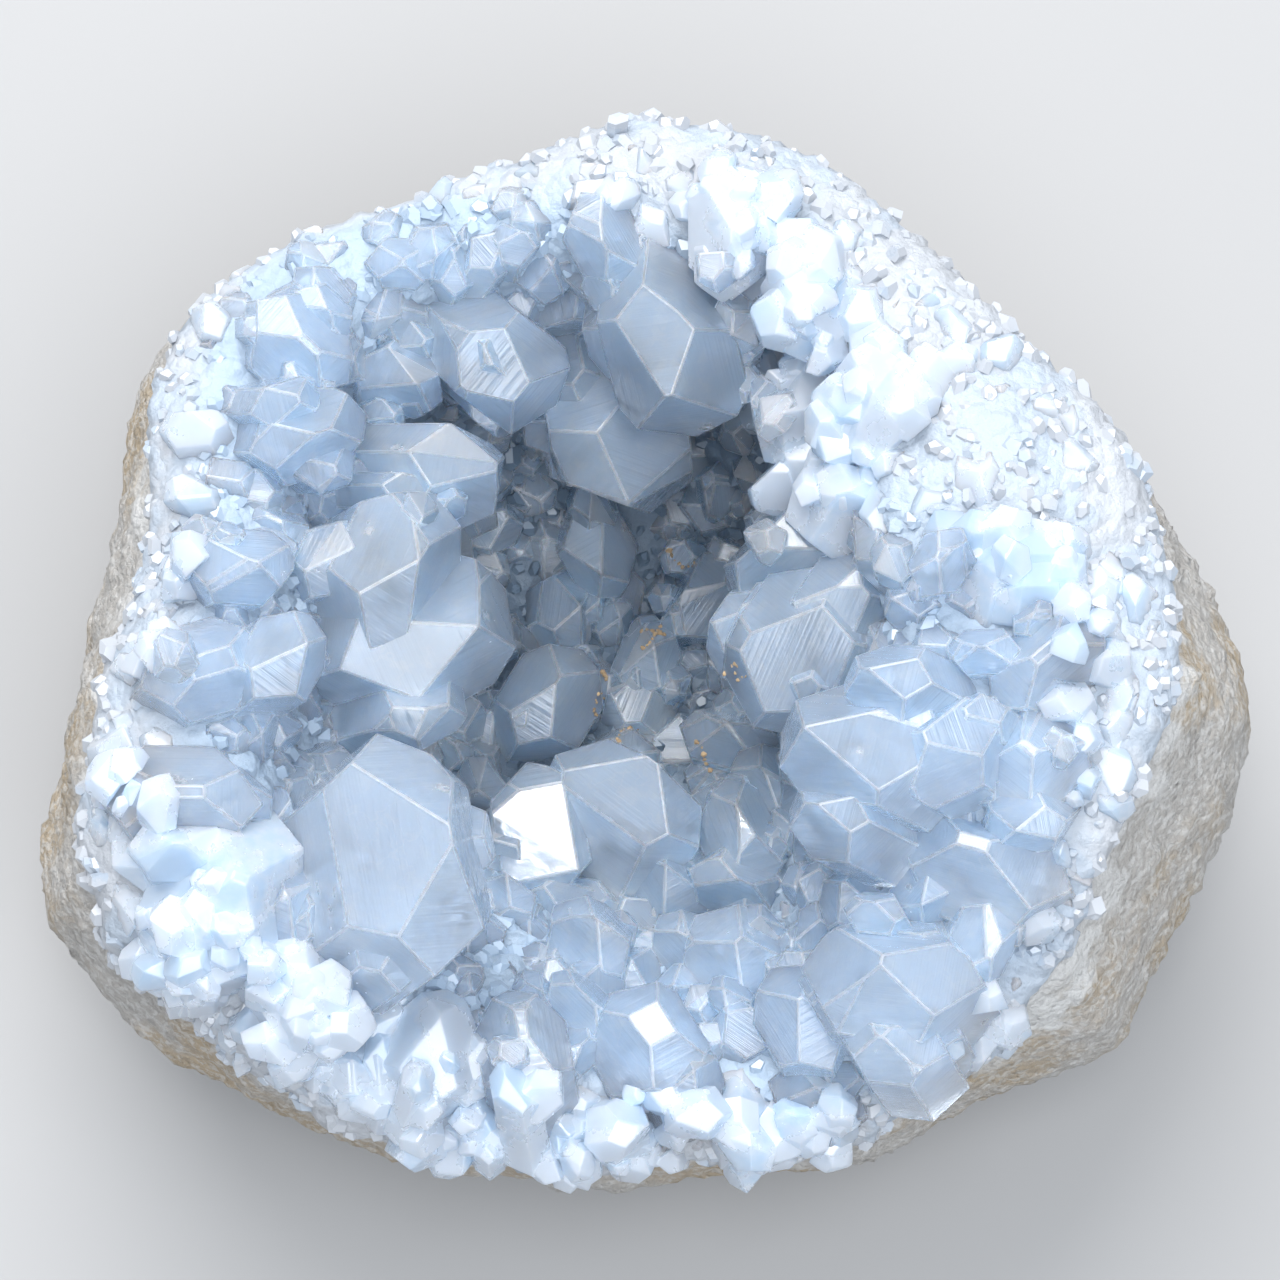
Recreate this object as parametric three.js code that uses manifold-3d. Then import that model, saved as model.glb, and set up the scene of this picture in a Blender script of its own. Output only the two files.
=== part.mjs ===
// A celestite geode: a rough rock bowl whose hollow and rim are lined with one crust of pale blue crystals.
// Millimetres, +Z up. The origin lies on the surface that the stone rests on, under the middle of its box.
import * as THREE from 'three';
import { ConvexGeometry } from 'three/addons/geometries/ConvexGeometry.js';
import { ImprovedNoise } from 'three/addons/math/ImprovedNoise.js';
import { mergeVertices } from 'three/addons/utils/BufferGeometryUtils.js';
import Module from 'manifold-3d';

const wasm = await Module();
wasm.setup();
const { lerp, degToRad, radToDeg, euclideanModulo, seededRandom } = THREE.MathUtils;

// Driving dimensions of the rock bowl.
// Stations run anticlockwise from +X. reach is how far the widest part of the wall lies from the middle, rim
// is how high the rock stands there, edge is where the top edge of the wall lies, as a share of reach, and
// width is how far the top runs in from there to the hollow.
const STATIONS = [
  { bearing: 0, reach: 48.5, rim: 49, edge: 0.82, width: 18 },
  { bearing: 11, reach: 46, rim: 49, edge: 0.84, width: 17 },
  { bearing: 22, reach: 42.8, rim: 49, edge: 0.86, width: 15 },
  { bearing: 34, reach: 38, rim: 48, edge: 0.9, width: 12 },
  { bearing: 47, reach: 36.6, rim: 46, edge: 0.93, width: 9 },
  { bearing: 70, reach: 39.5, rim: 43, edge: 0.95, width: 8 },
  { bearing: 90, reach: 41.5, rim: 41, edge: 0.96, width: 7.5 },
  { bearing: 106, reach: 40.5, rim: 39, edge: 0.95, width: 7 },
  { bearing: 122, reach: 43.5, rim: 38, edge: 0.93, width: 7 },
  { bearing: 145, reach: 48.5, rim: 38, edge: 0.9, width: 8 },
  { bearing: 155, reach: 48.5, rim: 39, edge: 0.87, width: 8 },
  { bearing: 166, reach: 46.3, rim: 41, edge: 0.84, width: 8 },
  { bearing: 181, reach: 46.9, rim: 44, edge: 0.82, width: 8 },
  { bearing: 193, reach: 50.5, rim: 46, edge: 0.84, width: 9 },
  { bearing: 207, reach: 53.6, rim: 46, edge: 0.87, width: 10 },
  { bearing: 224, reach: 50.2, rim: 43, edge: 0.92, width: 10 },
  { bearing: 241, reach: 46.8, rim: 39, edge: 0.95, width: 9 },
  { bearing: 266, reach: 43.8, rim: 34, edge: 0.97, width: 8 },
  { bearing: 280, reach: 43.7, rim: 34, edge: 0.97, width: 8 },
  { bearing: 294, reach: 45.8, rim: 36, edge: 0.95, width: 9 },
  { bearing: 307, reach: 47.2, rim: 40, edge: 0.9, width: 12 },
  { bearing: 318, reach: 50.5, rim: 44, edge: 0.84, width: 15 },
  { bearing: 330, reach: 49.4, rim: 48, edge: 0.8, width: 17 },
  { bearing: 351, reach: 50.7, rim: 50, edge: 0.79, width: 18 },
];
const LOWER_WALL = [[0.42, 0], [0.63, 0.05], [0.81, 0.16], [0.94, 0.32], [1, 0.5]]; // shares of reach, rim
const UPPER_WALL = [[0.3, 0.68], [0.68, 0.84], [1, 0.95]]; // share of the way in to the edge, and of rim
const RIM_INNER_HEIGHT = 0.96; // share of rim
const HOLLOW_RINGS = [0.86, 0.72, 0.58, 0.43, 0.26]; // shares of the hollow's reach
const HOLLOW_FLOOR = 8; // rock under the deepest place
const HOLLOW_MIDDLE = new THREE.Vector2(-1, 6);
const HOLLOW_REACH = 29; // of a round hollow, which the lower rings come closer to
const HOLLOW_STEEPNESS = { front: 1.7, back: 3.6 };
const LUMP_SPAN = 13;
const LUMP_HEIGHT = 1.9;
const SEGMENTS = 44;

// The values of STATIONS at any bearing, on a smooth closed curve through them.
function stationAt(bearing) {
  const turn = euclideanModulo(bearing, 360);
  const count = STATIONS.length;
  const after = STATIONS.findIndex((s) => s.bearing > turn);
  const i = (after < 0 ? count : after) - 1;
  const at = (k) => STATIONS[euclideanModulo(k, count)];
  const turnOf = (k) => at(k).bearing + 360 * Math.floor(k / count);
  const span = turnOf(i + 1) - turnOf(i);
  const t = (turn - turnOf(i)) / span;
  const value = (key) => {
    const slope = (k) => (at(k + 1)[key] - at(k - 1)[key]) / (turnOf(k + 1) - turnOf(k - 1));
    const from = at(i)[key];
    const to = at(i + 1)[key];
    const bend = 3 * t * t - 2 * t * t * t;
    return (
      lerp(from, to, bend) +
      span * slope(i) * t * (1 - t) * (1 - t) -
      span * slope(i + 1) * t * t * (1 - t)
    );
  };
  return { reach: value('reach'), rim: value('rim'), edge: value('edge'), width: value('width') };
}

// The rock's outline in the upright plane at one bearing, from under the middle, out, up, over the rim and
// down to the deepest place. inward is the share of the way that a ring's centre has moved to HOLLOW_MIDDLE.
function profileAt(bearing) {
  const { reach, rim, edge, width } = stationAt(bearing);
  const hollowReach = edge * reach - width;
  const hollowTop = RIM_INNER_HEIGHT * rim;
  const back = (1 + Math.sin(degToRad(bearing))) / 2;
  const steepness = lerp(HOLLOW_STEEPNESS.front, HOLLOW_STEEPNESS.back, back);
  const ring = (radius, height, inward = 0) => ({ radius, height, inward });
  return [
    ring(0, 0),
    ...LOWER_WALL.map(([out, up]) => ring(out * reach, up * rim)),
    ...UPPER_WALL.map(([inShare, up]) => ring(lerp(1, edge, inShare) * reach, up * rim)),
    ring(edge * reach - width / 2, rim),
    ring(hollowReach, hollowTop),
    ...HOLLOW_RINGS.map((share) =>
      ring(
        share * lerp(HOLLOW_REACH, hollowReach, share),
        lerp(HOLLOW_FLOOR, hollowTop, share ** steepness),
        1 - share,
      ),
    ),
    ring(0, HOLLOW_FLOOR, 1),
  ];
}
const FLAT_RINGS = 2; // the middle and the edge of the flat spot
const CRUST_EDGE = LOWER_WALL.length + UPPER_WALL.length; // the ring at the wall's top edge
const LAST_RING = profileAt(0).length - 1;

const noise = new ImprovedNoise();

// A point of ring k at one bearing, raised off the rock's surface by lift.
function rockPoint(k, bearing, lift) {
  const profile = profileAt(bearing);
  const here = profile[k];
  const before = profile[Math.max(k - 1, 0)];
  const after = profile[Math.min(k + 1, LAST_RING)];
  const along = new THREE.Vector2(after.radius - before.radius, after.height - before.height).normalize();
  if (!here.radius) along.set(Math.sign(along.x), 0); // on the axis the surface is level
  const out = new THREE.Vector2(Math.cos(degToRad(bearing)), Math.sin(degToRad(bearing)));
  const centre = HOLLOW_MIDDLE.clone().multiplyScalar(here.inward);
  const place = (push) => {
    const plan = out.clone().multiplyScalar(here.radius ? here.radius + push * along.y : 0).add(centre);
    return new THREE.Vector3(plan.x, plan.y, here.height - push * along.x);
  };
  if (k < FLAT_RINGS) return place(lift);
  const still = place(0).divideScalar(LUMP_SPAN);
  return place(lift + LUMP_HEIGHT * noise.noise(still.x, still.y, still.z));
}

// A closed solid through rings given as functions of the bearing, from one point on the axis to another.
function ringedGeometry(rings) {
  const geometry = new THREE.LatheGeometry(rings.map((_, i) => new THREE.Vector2(1, i)), SEGMENTS);
  const position = geometry.getAttribute('position');
  for (let segment = 0; segment <= SEGMENTS; segment += 1) {
    const bearing = (360 * (segment % SEGMENTS)) / SEGMENTS;
    rings.forEach((ring, i) => position.setXYZ(segment * rings.length + i, ...ring(bearing)));
  }
  return geometry;
}

function solidOf(geometry) {
  const bare = geometry.clone();
  bare.deleteAttribute('normal');
  bare.deleteAttribute('uv');
  const merged = mergeVertices(bare);
  const mesh = new wasm.Mesh({
    numProp: 3,
    vertProperties: new Float32Array(merged.getAttribute('position').array),
    triVerts: new Uint32Array(merged.index.array),
  });
  return new wasm.Manifold(mesh);
}

function geometryOf(solid) {
  const mesh = solid.getMesh();
  const geometry = new THREE.BufferGeometry();
  geometry.setAttribute('position', new THREE.BufferAttribute(new Float32Array(mesh.vertProperties), 3));
  geometry.setIndex(new THREE.BufferAttribute(new Uint32Array(mesh.triVerts), 1));
  geometry.computeVertexNormals();
  return geometry;
}

// Driving dimensions of the crust.
const CRUST_GAP = 0.35; // between the rock and the crust's underside
const CRUST_THICKNESS = 2.6;
const CRUST_EDGE_THICKNESS = 1.2;

// The large crystals. at is where the root stands on the rock in plan, across is the width between two long
// faces, and length is how far the crystal stands out of the rock. It leans off the vertical towards bearing,
// and is turned by spin about its own length. flat thins it one way, and blunt cuts its point off, both as
// shares.
const CRYSTALS = [
  // left wall
  { at: [-24.2, -23.3], across: 16, length: 21, lean: 28, bearing: 20, spin: 80, flat: 0.75 },
  { at: [-25.1, 3.2], across: 12, length: 18, lean: 28, bearing: 5, spin: 60 },
  { at: [-24.4, -1.1], across: 14, length: 18, lean: 36, bearing: 0, spin: 30 },
  { at: [-26.4, 14], across: 9, length: 18, lean: 55, bearing: -10, spin: 0, flat: 0.8 },
  { at: [-29, 22.3], across: 8, length: 9, lean: 20, bearing: -40, spin: 0, blunt: 0.9 },
  { at: [-29.9, 15.4], across: 8.5, length: 11, lean: 30, bearing: -25, spin: 45 },
  { at: [-35.6, -6.4], across: 8.5, length: 8, lean: 15, bearing: 0, spin: 20, blunt: 0.85 },
  { at: [-31.6, -6.5], across: 7, length: 11, lean: 30, bearing: 10, spin: 50 },
  { at: [-33.2, 2.4], across: 7, length: 9, lean: 20, bearing: -10, spin: 10 },
  { at: [-36.2, -17.2], across: 10, length: 8, lean: 5, bearing: 0, spin: 0, blunt: 0.9 },
  { at: [-32.8, -24.5], across: 13, length: 10, lean: 12, bearing: 30, spin: 40, blunt: 0.9 },
  { at: [-27.4, -31.6], across: 9, length: 9, lean: 15, bearing: 50, spin: 70 },
  { at: [-34.4, -28.2], across: 8, length: 6, lean: 5, bearing: 40, spin: 20, blunt: 0.9 },
  // back wall
  { at: [-15, 26.4], across: 9.5, length: 15, lean: 45, bearing: -55, spin: 20 },
  { at: [-22.2, 22.7], across: 6.5, length: 9, lean: 30, bearing: -50, spin: 30 },
  { at: [3.1, 29], across: 13, length: 18, lean: 50, bearing: -95, spin: 15 },
  { at: [-3.9, 26], across: 12, length: 18, lean: 62, bearing: -80, spin: 50 },
  { at: [-3.2, 31.2], across: 7, length: 8, lean: 15, bearing: -90, spin: 30 },
  { at: [7.5, 30.9], across: 8.5, length: 8, lean: 20, bearing: -100, spin: 10 },
  { at: [13.6, 24.7], across: 8, length: 8, lean: 20, bearing: -130, spin: 50 },
  // right wall
  { at: [15.8, 17.4], across: 9.5, length: 10, lean: 28, bearing: -160, spin: 20 },
  { at: [18.9, 15.3], across: 8, length: 7, lean: 15, bearing: -150, spin: 60 },
  { at: [18.2, 6.3], across: 12.5, length: 14, lean: 48, bearing: 185, spin: 20 },
  { at: [18.5, -3.5], across: 12, length: 15, lean: 52, bearing: 175, spin: 60 },
  { at: [18.8, 8.2], across: 10, length: 10, lean: 20, bearing: 190, spin: 0 },
  { at: [23.2, 1.8], across: 5, length: 9, lean: 12, bearing: 240, spin: 0 },
  { at: [24.8, -13.9], across: 8.5, length: 9, lean: 25, bearing: 170, spin: 30 },
  { at: [20.5, -13.6], across: 12, length: 12, lean: 40, bearing: 165, spin: 0 },
  { at: [28.1, 1.2], across: 9, length: 6, lean: 10, bearing: 200, spin: 20, blunt: 0.9 },
  { at: [31, -6], across: 9, length: 6, lean: 5, bearing: 180, spin: 40, blunt: 0.9 },
  { at: [30.2, -13.9], across: 9, length: 6, lean: 10, bearing: 160, spin: 70, blunt: 0.9 },
  { at: [26.6, -21.7], across: 11, length: 7, lean: 15, bearing: 150, spin: 10, blunt: 0.9 },
  { at: [20.7, -31.7], across: 12, length: 13, lean: 20, bearing: 140, spin: 30 },
  // front slope
  { at: [8.3, -16.8], across: 8.5, length: 10, lean: 10, bearing: 100, spin: 10 },
  { at: [6.7, -18.6], across: 6.5, length: 9, lean: 15, bearing: -60, spin: 40 },
  { at: [1.6, -19.9], across: 8, length: 8, lean: 10, bearing: 90, spin: 30 },
  { at: [-4.3, -17.6], across: 11, length: 15, lean: 40, bearing: 60, spin: 80, flat: 0.7 },
  { at: [-8.5, -14.3], across: 10, length: 14, lean: 8, bearing: 270, spin: 10, flat: 0.75, blunt: 0.72 },
  { at: [-9.8, -4.7], across: 9, length: 11, lean: 20, bearing: 40, spin: 20 },
  { at: [-9.1, -38], across: 8, length: 11, lean: 25, bearing: 100, spin: 0 },
  { at: [0, -35.7], across: 9, length: 10, lean: 15, bearing: 80, spin: 40, blunt: 0.85 },
  { at: [2.5, -39], across: 6, length: 8, lean: 15, bearing: 60, spin: 10 },
  { at: [-17.4, -36.8], across: 8.5, length: 9, lean: 25, bearing: 60, spin: 20 },
  { at: [-4.8, -26.8], across: 7, length: 8, lean: 20, bearing: 80, spin: 50 },
  { at: [7.7, -27.9], across: 9, length: 9, lean: 15, bearing: 110, spin: 20 },
  { at: [12.9, -33.6], across: 8, length: 8, lean: 15, bearing: 120, spin: 0 },
  { at: [-20.8, -37.6], across: 6.5, length: 6, lean: 15, bearing: 70, spin: 60 },
  { at: [-13, -40.2], across: 6, length: 6, lean: 12, bearing: 90, spin: 0 },
  { at: [-7.2, -41], across: 5.5, length: 6, lean: 10, bearing: 90, spin: 40 },
  { at: [-2.8, -41], across: 5.5, length: 6, lean: 10, bearing: 90, spin: 70 },
  { at: [7.2, -39.8], across: 6.5, length: 6, lean: 10, bearing: 100, spin: 20 },
  { at: [13.5, -38.8], across: 6.5, length: 6, lean: 10, bearing: 110, spin: 50 },
  // bottom of the hollow
  { at: [-4.5, 13.3], across: 7, length: 9, lean: 30, bearing: -80, spin: 20 },
  { at: [7.4, 7], across: 7, length: 9, lean: 30, bearing: 180, spin: 50 },
  { at: [-0.2, 0.8], across: 6, length: 8, lean: 10, bearing: 60, spin: 10 },
  { at: [7.7, -7.4], across: 7, length: 8, lean: 20, bearing: 120, spin: 40 },
  { at: [-9.1, 5.5], across: 6, length: 8, lean: 30, bearing: 10, spin: 70 },
  { at: [11.1, -12.6], across: 7, length: 8, lean: 20, bearing: 130, spin: 0 },
];

// The small crystals between them, which are smaller on the rim than in the hollow.
const SMALL_COUNT = 46;
const SMALL_ACROSS = { rim: [4, 5.5], hollow: [5, 7.5] };
const SMALL_LENGTH = [0.75, 1.15]; // shares of across
const SMALL_SPACING = 0.42; // least distance to another crystal, as a share of their two widths
const SMALL_UPRIGHT = 0.55; // how far they turn from the wall's normal towards the vertical
const SEED = 11;

// The angles of a crystal's faces, and how unevenly they grew.
const LONG_FACE_ANGLE = 38; // from the broad direction
const END_FACE_ANGLE = 38; // of the two broad end faces, from the length
const GABLE_FACE_ANGLE = 51; // of the two narrow end faces, from the length
const UNEVENNESS = 0.09;
const ROOT_DEPTH = 0.35; // below the rock's surface, as a share of across
const FACE_TOLERANCE = 1e-6;
const SLIVER = 0.15; // where faces meet, steps smaller than this are smoothed out

const uneven = () => 1 + UNEVENNESS * (2 * seededRandom() - 1);
const between = ([low, high]) => lerp(low, high, seededRandom());

// The flat faces of a crystal that points along +Z from a root at the origin.
function crystalFaces({ across, length, flat = 0.9, blunt }) {
  const half = across / 2;
  const face = (normal, distance) => new THREE.Plane(normal, -distance);
  const faces = [face(new THREE.Vector3(0, 0, -1), ROOT_DEPTH * across)];
  if (blunt) faces.push(face(new THREE.Vector3(0, 0, 1), blunt * length));
  const turned = (angle) => [Math.sin(degToRad(angle)), Math.cos(degToRad(angle))];
  const [longSin, longCos] = turned(LONG_FACE_ANGLE);
  const [endSin, endCos] = turned(END_FACE_ANGLE);
  const [gableSin, gableCos] = turned(GABLE_FACE_ANGLE);
  for (const side of [-1, 1]) {
    for (const other of [-1, 1]) {
      faces.push(face(new THREE.Vector3(side * longCos, other * longSin, 0), half * uneven()));
    }
    faces.push(face(new THREE.Vector3(0, side, 0), flat * half * uneven()));
    faces.push(face(new THREE.Vector3(side * endSin, 0, endCos), endCos * length * uneven()));
    faces.push(face(new THREE.Vector3(0, side * gableSin, gableCos), gableCos * length * uneven()));
  }
  return faces;
}

// The corner where three faces meet, or null where they are parallel.
function cornerOf(a, b, c) {
  const bc = b.normal.clone().cross(c.normal);
  const spread = a.normal.dot(bc);
  if (Math.abs(spread) < FACE_TOLERANCE) return null;
  return bc
    .multiplyScalar(-a.constant)
    .addScaledVector(c.normal.clone().cross(a.normal), -b.constant)
    .addScaledVector(a.normal.clone().cross(b.normal), -c.constant)
    .divideScalar(spread);
}

// One crystal as a convex solid, standing on its root.
function crystalSolid(crystal) {
  const faces = crystalFaces(crystal);
  const inside = (p) => faces.every((face) => face.distanceToPoint(p) < FACE_TOLERANCE * crystal.length);
  const corners = [];
  faces.forEach((a, i) =>
    faces.slice(i + 1).forEach((b, j) =>
      faces.slice(i + j + 2).forEach((c) => {
        const corner = cornerOf(a, b, c);
        if (corner && inside(corner)) corners.push(corner);
      }),
    ),
  );
  const geometry = new ConvexGeometry(corners);
  geometry.rotateZ(degToRad(crystal.spin));
  geometry.rotateY(degToRad(crystal.lean));
  geometry.rotateZ(degToRad(crystal.bearing));
  geometry.translate(crystal.root.x, crystal.root.y, crystal.root.z);
  return solidOf(geometry);
}

const ringNumbers = (from, to) => Array.from({ length: to - from + 1 }, (_, i) => from + i);
const rockRing = (k, lift) => (bearing) => rockPoint(k, bearing, lift);

function rockGeometry(lift = 0) {
  return ringedGeometry(ringNumbers(0, LAST_RING).map((k) => rockRing(k, lift)));
}

// The thin layer that the crystals grow from, over the hollow and the rim.
function liningGeometry() {
  const covered = ringNumbers(CRUST_EDGE, LAST_RING);
  const thickness = (k) => (k === CRUST_EDGE ? CRUST_EDGE_THICKNESS : CRUST_THICKNESS);
  return ringedGeometry([
    ...covered.toReversed().map((k) => rockRing(k, -CRUST_GAP)),
    ...covered.map((k) => rockRing(k, thickness(k))),
  ]);
}

const rockFinish = new THREE.MeshStandardMaterial({ color: 0xc9c0b2, roughness: 0.9 });
const rock = new THREE.Mesh(rockGeometry(), rockFinish);
rock.name = 'matrix';

// The place on the rock straight below a point in plan.
function rockBelow(x, y) {
  const above = new THREE.Vector3(x, y, 2 * STATIONS[0].reach);
  return new THREE.Raycaster(above, new THREE.Vector3(0, 0, -1)).intersectObject(rock)[0].point;
}

// Small crystals at random places between the large ones, each leaning off the wall.
function smallCrystals(placed) {
  const crystals = [];
  const last = LAST_RING - 1;
  while (crystals.length < SMALL_COUNT) {
    const bearing = 360 * seededRandom();
    const k = CRUST_EDGE + 1 + Math.floor((last - CRUST_EDGE) * Math.sqrt(seededRandom()));
    const ring = Math.min(k, last);
    const root = rockPoint(ring, bearing, 0);
    const across = between(ring < CRUST_EDGE + 3 ? SMALL_ACROSS.rim : SMALL_ACROSS.hollow);
    const length = across * between(SMALL_LENGTH);
    const spin = 360 * seededRandom();
    const off = rockPoint(ring, bearing, 1).sub(root).normalize();
    const way = off.lerp(new THREE.Vector3(0, 0, 1), SMALL_UPRIGHT).normalize();
    const clear = [...placed, ...crystals].every(
      (other) => other.root.distanceTo(root) > SMALL_SPACING * (other.across + across),
    );
    if (!clear) continue;
    const lean = radToDeg(Math.acos(way.z));
    const towards = radToDeg(Math.atan2(way.y, way.x));
    crystals.push({ across, length, lean, bearing: towards, spin, root });
  }
  return crystals;
}

// Where crystals enclose a space or stand off the lining, only the outer body is kept.
function largestOf(solids) {
  return solids.reduce((largest, solid) => (solid.volume() > largest.volume() ? solid : largest));
}

function crustGeometry() {
  seededRandom(SEED);
  const large = CRYSTALS.map((crystal) => ({ ...crystal, root: rockBelow(...crystal.at) }));
  const solids = large.map(crystalSolid);
  solids.push(...smallCrystals(large).map(crystalSolid));
  const grown = solids.reduce((whole, solid) => whole.add(solid), solidOf(liningGeometry()));
  const cut = grown.subtract(solidOf(rockGeometry(CRUST_GAP))).simplify(SLIVER);
  return geometryOf(largestOf(cut.decompose()));
}

const crustFinish = new THREE.MeshStandardMaterial({ color: 0xb4c9e2, roughness: 0.2 });
const crust = new THREE.Mesh(crustGeometry(), crustFinish);
crust.name = 'crystal_crust';

const geode = new THREE.Group();
geode.add(rock, crust);
const middle = new THREE.Box3().setFromObject(geode).getCenter(new THREE.Vector3());
geode.position.set(-middle.x, -middle.y, 0);
export default geode;
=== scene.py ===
"""Dresses the celestite geode: rough rock, a sugary lining and clear pale blue crystals, on a pale floor."""

import itertools
import math
from collections import namedtuple

import bmesh
import bpy
import numpy as np
from mathutils import Matrix, Vector, noise
from mathutils.bvhtree import BVHTree


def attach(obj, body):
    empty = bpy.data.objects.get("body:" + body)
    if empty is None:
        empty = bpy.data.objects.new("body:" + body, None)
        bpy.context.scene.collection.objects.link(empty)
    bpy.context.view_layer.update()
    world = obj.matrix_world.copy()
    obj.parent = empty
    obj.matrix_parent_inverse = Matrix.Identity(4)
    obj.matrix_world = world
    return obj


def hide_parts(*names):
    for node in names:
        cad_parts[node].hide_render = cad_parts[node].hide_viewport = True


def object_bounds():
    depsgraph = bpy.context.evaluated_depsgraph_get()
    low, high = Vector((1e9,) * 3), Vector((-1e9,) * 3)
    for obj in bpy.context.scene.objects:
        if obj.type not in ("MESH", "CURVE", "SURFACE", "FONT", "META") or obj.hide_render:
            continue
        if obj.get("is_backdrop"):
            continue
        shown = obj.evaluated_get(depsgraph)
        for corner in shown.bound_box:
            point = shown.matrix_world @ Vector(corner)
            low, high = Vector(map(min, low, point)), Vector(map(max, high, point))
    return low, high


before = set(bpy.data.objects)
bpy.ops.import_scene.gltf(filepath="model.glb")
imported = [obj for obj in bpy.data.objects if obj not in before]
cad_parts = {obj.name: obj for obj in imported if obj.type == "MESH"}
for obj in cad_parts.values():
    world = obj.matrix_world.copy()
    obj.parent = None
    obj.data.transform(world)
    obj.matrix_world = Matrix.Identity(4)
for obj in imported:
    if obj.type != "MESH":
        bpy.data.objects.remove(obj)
CAD_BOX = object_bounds()

bl_info = {
    "name": "Celestite Geode",
    "version": (1, 0, 0),
    "blender": (4, 5, 0),
    "location": "View3D > Sidebar > Geode",
    "description": "Builds a rock bowl lined with pale blue celestite crystals",
    "category": "Add Mesh",
}

MM = 0.001
UP = Vector((0, 0, 1))
ROCK_NODE = "matrix"
CRUST_NODE = "crystal_crust"

# Where the large crystals grow, in millimetres and degrees: the root's place in plan, the width between two long
# faces, the length out of the rock, the lean off the vertical towards a bearing, and the turn about the length.
Crystal = namedtuple("Crystal", "x y across length lean bearing spin flat blunt", defaults=(0.9, None))
LARGE_CRYSTALS = [
    # left wall
    Crystal(-24.2, -23.3, 16, 21, 28, 20, 80, flat=0.75),
    Crystal(-25.1, 3.2, 12, 18, 28, 5, 60),
    Crystal(-24.4, -1.1, 14, 18, 36, 0, 30),
    Crystal(-26.4, 14, 9, 18, 55, -10, 0, flat=0.8),
    Crystal(-29, 22.3, 8, 9, 20, -40, 0, blunt=0.9),
    Crystal(-29.9, 15.4, 8.5, 11, 30, -25, 45),
    Crystal(-35.6, -6.4, 8.5, 8, 15, 0, 20, blunt=0.85),
    Crystal(-31.6, -6.5, 7, 11, 30, 10, 50),
    Crystal(-33.2, 2.4, 7, 9, 20, -10, 10),
    Crystal(-36.2, -17.2, 10, 8, 5, 0, 0, blunt=0.9),
    Crystal(-32.8, -24.5, 13, 10, 12, 30, 40, blunt=0.9),
    Crystal(-27.4, -31.6, 9, 9, 15, 50, 70),
    Crystal(-34.4, -28.2, 8, 6, 5, 40, 20, blunt=0.9),
    # back wall
    Crystal(-15, 26.4, 9.5, 15, 45, -55, 20),
    Crystal(-22.2, 22.7, 6.5, 9, 30, -50, 30),
    Crystal(3.1, 29, 13, 18, 50, -95, 15),
    Crystal(-3.9, 26, 12, 18, 62, -80, 50),
    Crystal(-3.2, 31.2, 7, 8, 15, -90, 30),
    Crystal(7.5, 30.9, 8.5, 8, 20, -100, 10),
    Crystal(13.6, 24.7, 8, 8, 20, -130, 50),
    # right wall
    Crystal(15.8, 17.4, 9.5, 10, 28, -160, 20),
    Crystal(18.9, 15.3, 8, 7, 15, -150, 60),
    Crystal(18.2, 6.3, 12.5, 14, 48, 185, 20),
    Crystal(18.5, -3.5, 12, 15, 52, 175, 60),
    Crystal(18.8, 8.2, 10, 10, 20, 190, 0),
    Crystal(23.2, 1.8, 5, 9, 12, 240, 0),
    Crystal(24.8, -13.9, 8.5, 9, 25, 170, 30),
    Crystal(20.5, -13.6, 12, 12, 40, 165, 0),
    Crystal(28.1, 1.2, 9, 6, 10, 200, 20, blunt=0.9),
    Crystal(31, -6, 9, 6, 5, 180, 40, blunt=0.9),
    Crystal(30.2, -13.9, 9, 6, 10, 160, 70, blunt=0.9),
    Crystal(26.6, -21.7, 11, 7, 15, 150, 10, blunt=0.9),
    Crystal(20.7, -31.7, 12, 13, 20, 140, 30),
    # front slope
    Crystal(8.3, -16.8, 8.5, 10, 10, 100, 10),
    Crystal(6.7, -18.6, 6.5, 9, 15, -60, 40),
    Crystal(1.6, -19.9, 8, 8, 10, 90, 30),
    Crystal(-4.3, -17.6, 11, 15, 40, 60, 80, flat=0.7),
    Crystal(-8.5, -14.3, 10, 14, 8, 270, 10, flat=0.75, blunt=0.72),
    Crystal(-9.8, -4.7, 9, 11, 20, 40, 20),
    Crystal(-9.1, -38, 8, 11, 25, 100, 0),
    Crystal(0, -35.7, 9, 10, 15, 80, 40, blunt=0.85),
    Crystal(2.5, -39, 6, 8, 15, 60, 10),
    Crystal(-17.4, -36.8, 8.5, 9, 25, 60, 20),
    Crystal(-4.8, -26.8, 7, 8, 20, 80, 50),
    Crystal(7.7, -27.9, 9, 9, 15, 110, 20),
    Crystal(12.9, -33.6, 8, 8, 15, 120, 0),
    Crystal(-20.8, -37.6, 6.5, 6, 15, 70, 60),
    Crystal(-13, -40.2, 6, 6, 12, 90, 0),
    Crystal(-7.2, -41, 5.5, 6, 10, 90, 40),
    Crystal(-2.8, -41, 5.5, 6, 10, 90, 70),
    Crystal(7.2, -39.8, 6.5, 6, 10, 100, 20),
    Crystal(13.5, -38.8, 6.5, 6, 10, 110, 50),
    # bottom of the hollow
    Crystal(-4.5, 13.3, 7, 9, 30, -80, 20),
    Crystal(7.4, 7, 7, 9, 30, 180, 50),
    Crystal(-0.2, 0.8, 6, 8, 10, 60, 10),
    Crystal(7.7, -7.4, 7, 8, 20, 120, 40),
    Crystal(-9.1, 5.5, 6, 8, 30, 10, 70),
    Crystal(11.1, -12.6, 7, 8, 20, 130, 0),
]
GROWTH_SHIFT = (-0.01, 1.106)  # from the crystals' own origin to the stone's, in millimetres
SEED = 11

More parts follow.
